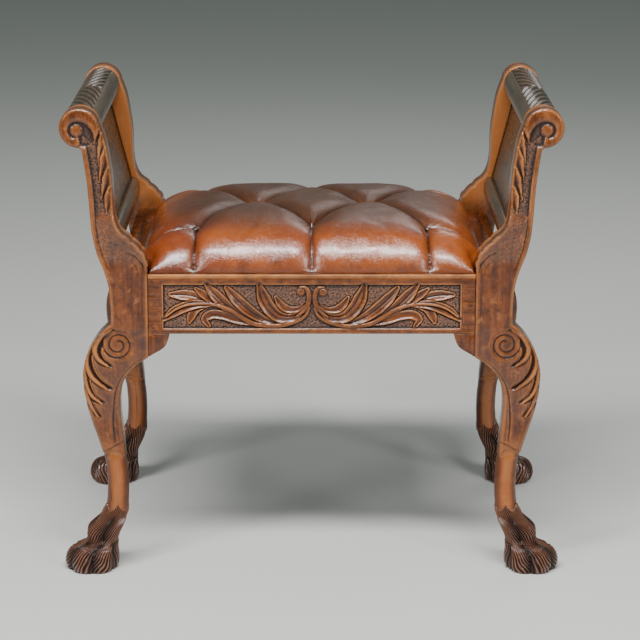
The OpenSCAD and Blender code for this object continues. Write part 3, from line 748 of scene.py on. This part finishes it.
# Leaves of the left half: the spine from its root, half the width, and the ribs
SPRAY = [([(-132, 355), (-145, 351), (-152, 343.5), (-156, 333.5)], 4.4, 0),
         ([(-112, 356), (-134, 361.5), (-155, 368), (-179, 369.5)], 5.6, 1),
         ([(-118, 357), (-148, 356.5), (-170, 349.5), (-187.5, 337.5)], 5.6, 1),
         ([(-104, 351), (-121, 358.5), (-135, 368), (-147, 377)], 4.2, 0),
         ([(-74, 334), (-92, 343), (-108, 354.5), (-123, 369.5), (-133, 382)], 6.2, 1),
         ([(-70, 331), (-92, 334.5), (-112, 342), (-127, 343.5), (-136, 337.5), (-131, 328.5)], 4.8, 0),
         ([(-38, 331.5), (-58, 335.5), (-76, 346), (-94, 361.5), (-108, 378.5)], 6.2, 1),
         ([(-8, 358), (-17, 350.5), (-28, 349.5), (-38, 355), (-45.5, 366)], 4.2, 0),
         ([(-9, 349), (-24, 339.5), (-40, 340), (-53, 350.5), (-61, 365), (-66.5, 381.5)], 7.2, 2)]
STEM = [(-3.5, 352), (-8, 342), (-20.9, 334), (-45.1, 328.6), (-71.8, 331), (-90.4, 340.4),
        (-103.7, 349), (-124.9, 356.6), (-151.6, 357.2), (-170.4, 351.6), (-185.3, 341)]
CURL = [(-14, 378.6), (-8, 378.2), (-3.8, 371.5), (-3.6, 361), (-8.6, 350), (-20, 340.5)]
BEAD, BEAD_R, LEDGE_Z = (-13.6, 373.2), 5.6, 391.0
# How far the right half is off the left one's mirror image
HAND_SHIFT = (0.6, 0.5)


def at_hand(line, hand):
    """A line of the spray's left half where hand is 1, or of its right half"""
    return line if hand > 0 else [(HAND_SHIFT[0] - x, z - HAND_SHIFT[1]) for x, z in line]


def carve_panel(u, w):
    """A rail's face: the sunk panel, and each half of the spray with its curl and bead"""
    relief = Relief(u, w)
    half, low, high = PANEL
    inside = smooth(half + 0.4, half - 0.4, np.abs(u))
    inside = inside * span(w, low - 0.4, low + 0.4, high - 0.4, high + 0.4)
    relief.sink(inside, PANEL_SINK)
    for hand in (1, -1):
        for spine, size, ribs in SPRAY:
            relief.leaf(at_hand(spine, hand),
                        [1.5, size * 0.7, size, size * 1.2, size * 1.15, size * 0.5],
                        -0.2, 2.7, 0.7 * hand, ribs)
        relief.roll(at_hand(STEM, hand), [2.0, 3.0, 3.2, 2.6, 2.0, 1.2], -0.1, 2.0)
        relief.roll(at_hand(CURL, hand), [2.4, 3.2, 3.4, 3.2, 2.4, 1.2], -0.2, 2.1)
        bead_u, bead_w = at_hand([BEAD], hand)[0]
        reach = np.hypot(u - bead_u, w - bead_w)
        bead = smooth(BEAD_R + 0.3, BEAD_R - 0.3, reach)
        relief.level += (-2.4 * held(reach / BEAD_R) ** 2.5 - relief.level) * bead
        relief.ground *= 1 - bead
    relief.incise([(-208, LEDGE_Z + 0.4), (-90, LEDGE_Z), (60, LEDGE_Z + 0.3), (208, LEDGE_Z)], 1.0, 0.7)
    for edge_u in (-half - 2.6, half + 2.6):
        relief.incise([(edge_u, low - 1), (edge_u + 0.4, 350), (edge_u, high + 2)], 0.9, 0.6)
    stile = smooth(half + 2, half + 5, np.abs(u))
    stroke = wander(np.stack([u * 0.12, w, w * 0], 1), 3.5, 6)
    relief.level -= stile * 0.45 * np.abs(stroke)
    return relief


def carved_rail(node, y_side):
    """The rail's own body, set back behind a finely cut face"""
    columns = int(2 * SHOULDER_X / RAIL_STEP)
    rows = int((RAIL_HIGH - RAIL_LOW) / RAIL_STEP)
    u, w = np.meshgrid(np.linspace(-SHOULDER_X, SHOULDER_X, columns + 1),
                       np.linspace(RAIL_LOW, RAIL_HIGH, rows + 1))
    u, w = u.ravel(), w.ravel()
    relief = carve_panel(u, w)
    around = np.minimum(w - RAIL_LOW, RAIL_HIGH - w)
    level = relief.level - 1.4 * (1 - np.sqrt(1 - (1 - held(around / 1.8)) ** 2))
    places = np.stack([u, RAIL_FACE_Y - level, w], 1)
    punch = relief.ground * (1.5 * pits(relief.places, 3.0, 1) - 0.6)
    lumps = 0.25 * wander(places, 15, 7) + 0.1 * wander(places, 5, 8)
    places[:, 1] += punch + lumps
    rim = (around < 0.01) | (np.abs(u) > SHOULDER_X - 0.01)
    places[rim, 1] = RAIL_FACE_Y + RIM_BACK
    places[:, 0] *= -y_side
    places[:, 1] *= -y_side
    index = np.arange(len(u)).reshape(rows + 1, columns + 1)
    face = new_piece(node + "_face", places, grid_faces(index))
    proud = proud_of(face, level - punch, 16)
    mark(face, "hollow_and_shade", held(relief.ground * 0.12 - proud))
    mark(face, "ground", relief.ground)
    # Pale at the edges from wear, and in a band along the top: wear there, with a painted highlight
    rubbed_and_lit = np.maximum(smooth(1.6, 0.4, around), smooth(6, 3.5, RAIL_HIGH - w) * 1.2)
    mark(face, "wear_and_highlight", held(np.maximum(proud / 0.8, rubbed_and_lit)))
    body = copy_of(node, node + "_body")
    spot, _ = places_of(body)
    on_face = spot[:, 1] * y_side > -RAIL_FACE_Y - RIM_BACK
    spot[:, 1] += np.where(on_face, -BODY_BACK * y_side, 0)
    put_places(body, spot)
    shade(body, 30)
    shade(face)
    choose(face, body)
    bpy.ops.object.join()
    face.name = node + "_carved"
    return face


rail_oak = oak("rail_oak", "x")
for node, y_side in (("front_rail", -1), ("back_rail", 1)):
    fit(carved_rail(node, y_side), node, rail_oak)


# Side rails and brackets. Plain planed oak, with softened edges. The brackets are sawn to an ogee
# and glued in the corners under the long rails.
def fit_worn(node, softening, finish):
    """A CAD node's own shape with softened edges, fitted in its place"""
    piece = copy_of(node, node + "_worn")
    apply(piece, "BEVEL", width=softening * MM, segments=3, limit_method="ANGLE",
          angle_limit=math.radians(32))
    shade(piece, 42)
    fit(piece, node, finish)
    return piece


side_oak = oak("side_oak", "y", carved=False)
for hand in ("left", "right"):
    fit_worn(hand + "_side_rail", 1.2, side_oak)
bracket_oak = oak("bracket_oak", "z", carved=False)
for corner, _, _ in CORNERS:
    fit_worn(corner + "_bracket", 0.9, bracket_oak)

# Arm rolls. A turned roll of oak joins the two scrolls of an arm on round tenons. Its top and
# outer side are carved with slanting gadroons that part at mid length; the inner side is plain.
ROLL_R = 23.5
ROLL_HALF = -BACK_Y
ROLL_AROUND, ROLL_ALONG = 200, 400
GADROON_PITCH, GADROON_DEPTH = 30.0, 2.6
# How far a gadroon slants for each millimetre round the roll, and how that grows
GADROON_SLANT, GADROON_BEND = 1.9, 0.008
# The plain part, in degrees up and down from the inner side
PLAIN_UP, PLAIN_DOWN = 50.0, -75.0


def carved_roll(hand, x_side):
    """The roll with its gadroons, turned round the middle of the scrolls"""
    turn = np.linspace(0, 360, ROLL_AROUND, endpoint=False)
    past_top = np.where(turn >= PLAIN_UP, turn - PLAIN_UP, 0) * math.pi / 180 * ROLL_R
    plain = smooth(PLAIN_UP + 5, PLAIN_UP, turn) + (turn > 360 + PLAIN_DOWN)
    rings, hollows = [], []
    for y in np.linspace(-ROLL_HALF, ROLL_HALF, ROLL_ALONG):
        slant = (abs(y) + GADROON_SLANT * past_top + GADROON_BEND * past_top ** 2) / GADROON_PITCH
        cut = -np.cos(math.pi * slant) ** 4
        parting = smooth(5, 0, abs(y))
        level = cut * GADROON_DEPTH * held(1 - plain) * (1 - parting)
        level = level - parting * 0.9 * (plain < 0.5)
        level = level - 0.5 * smooth(3, 0, np.abs(turn - PLAIN_UP - 2))
        radius = ROLL_R + level - 1.2 * smooth(ROLL_HALF - 1.5, ROLL_HALF, abs(y))
        x = SCROLL_RIM[0] - radius * np.cos(np.radians(turn))
        z = SCROLL_RIM[1] + radius * np.sin(np.radians(turn))
        rings.append(np.stack([x * x_side, np.full(ROLL_AROUND, y), z], 1)[::x_side])
        hollows.append(held(-level / 2.4)[::x_side])
    piece = ring_mesh(hand + "_roll_carved", rings)
    mark(piece, "hollow_and_shade", np.r_[np.concatenate(hollows), 0, 0])
    shade(piece, 60)
    return piece


DARK_OAK = (0.050, 0.031, 0.018)
DARK_OAK_LIGHT = (0.092, 0.056, 0.032)


def dark_oak(name):
    """Oak dark and smooth from handling, waxed to a cool shine"""
    f = Finish(name)
    growth = f.cloud((90, 6, 90), 4, 0.6, 0.5)
    patches = f.cloud(18.0, 3, 0.6, 0.8)
    colour = f.mix(f.step(growth, 0.3, 0.7), DARK_OAK, DARK_OAK_LIGHT)
    colour = f.mix(f.attribute("hollow_and_shade") * 0.9, colour, WOOD_DARK)
    f.set(Base_Color=colour, Roughness=0.26 + f.step(patches, 0.4, 0.7) * 0.14, Coat_Weight=0.35,
          Coat_Roughness=0.26)
    return f.finished(growth, 0.0003, 0.5)


roll_oak = dark_oak("roll_oak")
for hand, x_side in (("left", -1), ("right", 1)):
    fit(carved_roll(hand, x_side), hand + "_roll", roll_oak)

# End boards and end rails. A thin polished board leans from under each roll to a rounded rail, and
# both are housed in the standards.
board_oak = dark_oak("board_oak")
for hand in ("left", "right"):
    fit_worn(hand + "_end_board", 0.6, board_oak)
    fit_worn(hand + "_end_rail", 0.8, board_oak)

# Seat. Horsehair under one hide of brown leather, drawn down at eight covered buttons and folded
# into pleats between them and out to the edges, where it is tacked to the rails. The stuffing
# swells into a full cushion between the pleats.
SEAT_BASE, SEAT_CROWN, SEAT_BACK_DROP = 396.3, 64.0, 5.5
SEAT_FRONT, SEAT_END = 191.0, 219.0
# How square the swell is along and across, and how round its crown is
SQUARE_ALONG, SQUARE_ACROSS, CROWN_ROUND = 4.6, 4.2, 2.15
# Half its length between the standards, where they begin, and its skirt over the side rails
SEAT_NECK, NECK_Y, SEAT_SKIRT = 206.3, 164.5, 16.5
COLUMNS, ROWS, SOFTENING = 320, 290, 16
BUTTON_STEP, BUTTON_ROW = 75, 118
BUTTONS = [(column * BUTTON_STEP, row * BUTTON_ROW)
           for row, columns in ((-1, (-2, 0, 2)), (0, (-1, 1)), (1, (-2, 0, 2))) for column in columns]
PLEATS = [((x, y), (side * BUTTON_STEP, 0)) for x, y in BUTTONS for side in (-1, 1)
          if y and abs(x - side * BUTTON_STEP) == BUTTON_STEP]
EDGE_PLEATS = [((x, y), (x, y * 1.9)) for x, y in BUTTONS if y]
EDGE_PLEATS += [((x, y), (x * 1.7, y * 1.05)) for x, y in BUTTONS if y and x]
# How deep the leather is drawn at a button, along a pleat and in an edge pleat, and how far the
# draw of a pleat, of an edge pleat and of a button reaches
TUFT, PLEAT, EDGE_PLEAT = 19.0, 17.0, 11.0
PUFF, EDGE_PUFF, TUFT_REACH = 27.0, 32.0, 34.0
# The well round a button, by its row: depth and reach
WELLS = {0: (8.0, 60.0), BUTTON_ROW: (4.0, 44.0)}


def swell_profile(reach, rise, square, count):
    """Half a section of the stuffing, from the middle out: places and heights, evenly spaced"""
    turn = np.linspace(0, math.pi / 2, 600)
    out = reach * np.sin(turn) ** (2 / square)
    up = rise * np.cos(turn) ** (2 / CROWN_ROUND)
    run = np.r_[0, np.cumsum(np.hypot(np.diff(out), np.diff(up)))]
    even = np.linspace(-1, 1, count)
    near = np.abs(even) * run[-1]
    return np.sign(even) * np.interp(near, run, out), np.interp(near, run, up) / rise


def tufting(x, y):
    """How far the leather is drawn in, how deep it lies in a fold, and how far from a pleat it is"""
    plan = np.stack([x, y], 1)
    drawn, fold, clear = np.zeros(len(x)), np.zeros(len(x)), np.full(len(x), np.inf)
    for pleats, mid, radius in ((PLEATS, PLEAT, PUFF), (EDGE_PLEATS, EDGE_PLEAT, EDGE_PUFF)):
        for start, end in pleats:
            a, b = np.array(start, float), np.array(end, float)
            run = b - a
            t = held(((plan - a) @ run) / (run @ run))
            away = np.linalg.norm(plan - a - t[:, None] * run, axis=1)
            share = t if pleats is EDGE_PLEATS else np.minimum(t, 1 - t)
            down = mid + (TUFT - mid) * np.exp(-share * np.linalg.norm(run) / 13.0)
            near = held(away / radius)
            drawn = np.maximum(drawn, down * (1 - np.sqrt(1 - (1 - near) ** 2.5)))
            fold = np.maximum(fold, np.exp(-away / 2.6))
            clear = np.minimum(clear, away)
    well = np.zeros(len(x))
    for bx, by in BUTTONS:
        away = np.hypot(x - bx, y - by)
        near = held(away / TUFT_REACH)
        drawn = np.maximum(drawn, TUFT * (1 - np.sqrt(1 - (1 - near) ** 3)))
        spoke = np.arctan2(y - by, x - bx)
        ripple = np.sin(spoke * 13 + bx * 0.7 + by) * 0.5 + np.sin(spoke * 21 + by * 0.3 + bx) * 0.5
        drawn = drawn + ripple * span(away, 4, 9, 14, TUFT_REACH) * 1.1
        fold = np.maximum(fold, np.exp(-away / 7.0))
        deep, reach = WELLS[abs(by)]
        well = np.maximum(well, deep * smooth(reach, 2, away))
    return drawn + well, fold, clear


def evened(sheet):
    """Each place of a sheet averaged with its four neighbours"""
    wide = np.pad(sheet, 1, mode="edge")
    return (2 * sheet + wide[:-2, 1:-1] + wide[2:, 1:-1] + wide[1:-1, :-2] + wide[1:-1, 2:]) / 6


def stuffed_seat():
    """One sheet over the stuffing, closed underneath"""
    x0, up_x = swell_profile(SEAT_END, SEAT_CROWN, SQUARE_ALONG, COLUMNS)
    y0, up_y = swell_profile(SEAT_FRONT, SEAT_CROWN, SQUARE_ACROSS, ROWS)
    x, y = np.meshgrid(x0, y0)
    rise = np.outer(up_y, up_x)
    x, y, rise = x.ravel(), y.ravel(), rise.ravel()
    up = smooth(0.1, 0.3, rise)
    neck = smooth(NECK_Y - 2 - 14 * up, NECK_Y + 1.5 * up, np.abs(y)) \
        * (SEAT_END - SEAT_NECK - 5.0 * smooth(0.2, 0.45, rise))
    skirt = smooth(0.14, 0.0, rise) * smooth(164.2, 163, np.abs(y)) * smooth(200, 212, np.abs(x))
    x = x * (1 + (SEAT_SKIRT * skirt - neck) / SEAT_END)
    grid = np.stack([x, y, SEAT_BASE + SEAT_CROWN * rise], 1).reshape(ROWS, COLUMNS, 3)
    normal = np.cross(np.gradient(grid, axis=1), np.gradient(grid, axis=0)).reshape(-1, 3)
    normal /= np.maximum(np.linalg.norm(normal, axis=1), 1e-9)[:, None]
    places = grid.reshape(-1, 3)
    drawn, fold, clear = tufting(x, y)
    corner = np.outer(smooth(0.35, 0.05, up_y), smooth(0.35, 0.05, up_x)).ravel()
    drawn = drawn * (1 - corner) * (0.2 + 0.8 * smooth(0.0, 0.14, rise))
    soft = drawn.reshape(ROWS, COLUMNS)
    for _ in range(SOFTENING):
        soft = evened(soft)
    drawn += (soft.ravel() - drawn) * smooth(3, 16, clear)
    slack = wander(places, 46, 11) * 1.1 + wander(places, 17, 12) * 0.45 + wander(places, 7, 13) * 0.12
    places = places + normal * (slack * smooth(0, 0.3, rise) * (1 - fold) - drawn)[:, None]
    places[:, 2] -= SEAT_BACK_DROP * smooth(-60, 110, y) * rise
    places[:, 2] = np.maximum(places[:, 2], SEAT_BASE)
    index = np.arange(len(places)).reshape(ROWS, COLUMNS)
    faces = grid_faces(index)
    rim = np.r_[index[0, :-1], index[:-1, -1], index[-1, :0:-1], index[:0:-1, 0]]
    under = len(places)
    faces += [(int(b), int(a), under) for a, b in zip(rim, np.roll(rim, -1))]
    seat = new_piece("leather_seat", np.vstack([places, (0, 0, SEAT_BASE)]), faces)
    # The folds, the pits round the buttons and the skirt at the ends carry painted shade
    mark(seat, "fold", np.r_[held(np.maximum(fold, skirt * 0.9)), 1])
    mark(seat, "crown", np.r_[smooth(0.62, 1.0, rise) * smooth(25, 7, drawn), 0])
    shade(seat, 60)
    return seat


LEATHER_TAN = (0.300, 0.066, 0.008)
LEATHER_RED = (0.170, 0.030, 0.006)
LEATHER_BROWN = (0.070, 0.015, 0.005)
LEATHER_CROWN_REFLECTION = (0.030, 0.013, 0.005)
LEATHER_FOLD_SHADE = (0.010, 0.004, 0.003)
SHADE_BELOW = (0.412, 0.397)


def leather():
    """Oiled hide, tan where it is stretched, with painted shade in the folds, on the buttons, on the skirt
    and at the bottom, and a painted dark reflection on the crowns, which are also duller
    """
    f = Finish("leather")
    crown, fold = f.attribute("crown"), f.attribute("fold")
    mottle = f.cloud(9.0, 4, 0.6, 0.5)
    blotch = f.cloud(30.0, 3, 0.6)
    creases = f.cloud((60, 60, 60), 5, 0.65, 1.6)
    grain = f.node("TexVoronoi", {"feature": "DISTANCE_TO_EDGE"}, {
        "Vector": f.place(), "Scale": 430.0}, "Distance")
    colour = f.mix(f.step(mottle, 0.3, 0.7), LEATHER_TAN, LEATHER_RED)
    colour = f.mix(f.step(blotch, 0.5, 0.75) * 0.5, colour, LEATHER_BROWN)
    # Darker on the crowns: a painted reflection
    colour = f.mix(crown * 0.85, colour, LEATHER_CROWN_REFLECTION)
    # Darker towards the bottom of the cushion: painted shade
    colour = f.mix(f.step(f.height(), *SHADE_BELOW) * 0.45, colour, LEATHER_BROWN)
    # Dark in the folds and in the pits round the buttons: painted shade
    colour = f.mix(fold * 0.93, colour, LEATHER_FOLD_SHADE)
    rough = 0.23 + f.step(creases, 0.45, 0.7) * 0.12 + crown * 0.14
    f.set(Base_Color=colour, Roughness=rough, Specular_IOR_Level=0.95,
          Coat_Weight=0.45 - crown * 0.45, Coat_Roughness=0.2)
    return f.finished(f.step(grain, 0.0, 0.25) * 0.5 + creases * 0.7, 0.0006, 0.42)


hide = leather()
seat = stuffed_seat()
fit(seat, "seat_cushion", hide)
buttons = fit_worn("buttons", 0.8, hide)
# The buttons, deep in their pits, are painted dark: painted shade
mark(buttons, "fold", np.ones(len(buttons.data.vertices)) * 0.9)

# Inside the frame. Softwood blocks are glued and screwed in the corners, dowels hold the paws,
# and two layers of jute webbing and a hessian carry the stuffing; black cloth closes the bottom.
PINE, PINE_LIGHT = (0.42, 0.27, 0.13), (0.56, 0.40, 0.22)
STEEL, STEEL_STAIN = (0.33, 0.32, 0.31), (0.16, 0.10, 0.07)
JUTE, JUTE_LIGHT = (0.30, 0.20, 0.10), (0.46, 0.34, 0.19)
HESSIAN, HESSIAN_LIGHT = (0.24, 0.16, 0.08), (0.40, 0.29, 0.16)
BLACK_CLOTH, BLACK_CLOTH_LIGHT = (0.012, 0.012, 0.013), (0.030, 0.030, 0.032)


def softwood():
    """Planed pine, without wax"""
    f = Finish("softwood")
    growth = f.cloud((60, 60, 7), 4, 0.6, 0.4)
    colour = f.mix(f.step(growth, 0.3, 0.7), PINE, PINE_LIGHT)
    f.set(Base_Color=colour, Roughness=0.62 + growth * 0.15)
    return f.finished(growth, 0.0004, 0.5)


def woven(name, warp, weft, threads):
    """Plain weave: two sets of threads crossing"""
    f = Finish(name)
    along, across = [f.node("TexWave", {"bands_direction": axis}, {
        "Vector": f.place(), "Scale": threads, "Distortion": 0.6, "Detail": 2.0}) for axis in "XY"]
    fibres = f.cloud(900.0, 3, 0.6)
    f.set(Base_Color=f.mix(along * across, warp, weft), Roughness=0.85 + fibres * 0.1)
    return f.finished(along * across + fibres * 0.4, 0.0008, 0.6)


def dull_steel():
    """Old steel with brown stains"""
    f = Finish("dull_steel")
    stain = f.cloud(220.0, 4, 0.6)
    stained = f.step(stain, 0.5, 0.75)
    f.set(Base_Color=f.mix(stained, STEEL, STEEL_STAIN), Metallic=1.0 - stained * 0.6,
          Roughness=0.38 + stain * 0.25)
    return f.finished(stain, 0.0001, 0.4)


block_pine = softwood()
for corner, _, _ in CORNERS:
    fit_worn(corner + "_corner_block", 0.8, block_pine)
fit_worn("paw_dowels", 0.4, block_pine)
steel = dull_steel()
fit_worn("corner_block_screws", 0.15, steel)
fit_worn("dust_cover_tacks", 0.15, steel)
jute = woven("jute", JUTE, JUTE_LIGHT, 190.0)
for node in ("cross_webbing", "long_webbing"):
    fit_worn(node, 0.2, jute)
fit_worn("hessian", 0.1, woven("hessian_cloth", HESSIAN, HESSIAN_LIGHT, 110.0))
black_cloth = woven("black_cloth", BLACK_CLOTH, BLACK_CLOTH_LIGHT, 260.0)
fit_worn("dust_cover", 0.2, black_cloth)

# Floor, light and camera. A plain pale floor and large soft lamps stand round the seat, and the
# camera looks from the photograph's place: a long lens, a little above the arms.
# Each lamp's place, the point it is turned to, its width and height, and its power
LAMPS = {"strip_lamp": ((-0.2, -1.7, 2.85), (0, 0, 0.35), (2.6, 0.6), 170),
         "left_lamp": ((-2.2, -2.2, 1.5), (0, 0, 0.35), (0.6, 1.0), 26),
         "right_lamp": ((2.3, -2.3, 1.4), (0, 0, 0.35), (0.6, 1.0), 24),
         "back_lamp": ((0.8, 2.2, 2.2), (0, 0, 0.3), (1.4, 0.8), 12)}
# The photograph's columns of pixels, and the one that the seat's middle stands on
PHOTO_COLUMNS, CENTRE_COLUMN = 640, 311.7
CAMERA_PITCH = 75.65

bpy.ops.mesh.primitive_plane_add(size=14, location=(0, 1, 0))
floor = bpy.context.object
floor.name = "floor"
pale = Finish("pale_floor")
pale.set(Base_Color=(0.62, 0.62, 0.60, 1), Roughness=0.75)
floor.data.materials.append(pale.material)

world = bpy.data.worlds.new("studio")
world.use_nodes = True
sky = world.node_tree.nodes["Background"].inputs
sky["Color"].default_value = (0.34, 0.42, 0.38, 1)
sky["Strength"].default_value = 0.33
bpy.context.scene.world = world

for name, (place, aim, size, power) in LAMPS.items():
    lamp = bpy.data.lights.new(name, "AREA")
    lamp.shape = "RECTANGLE"
    lamp.size, lamp.size_y = size
    lamp.energy = power
    holder = new_object(name, lamp)
    holder.location = place
    holder.rotation_euler = (Vector(aim) - Vector(place)).to_track_quat("-Z", "Y").to_euler()

camera = new_object("camera", bpy.data.cameras.new("camera"))
camera.location = (0.0, -3.215, 1.1085)
camera.rotation_euler = (math.radians(CAMERA_PITCH), 0, 0)
camera.data.lens = 137.8
camera.data.sensor_width = 36.0
camera.data.shift_x = (PHOTO_COLUMNS / 2 - CENTRE_COLUMN) / PHOTO_COLUMNS
bpy.context.scene.camera = camera
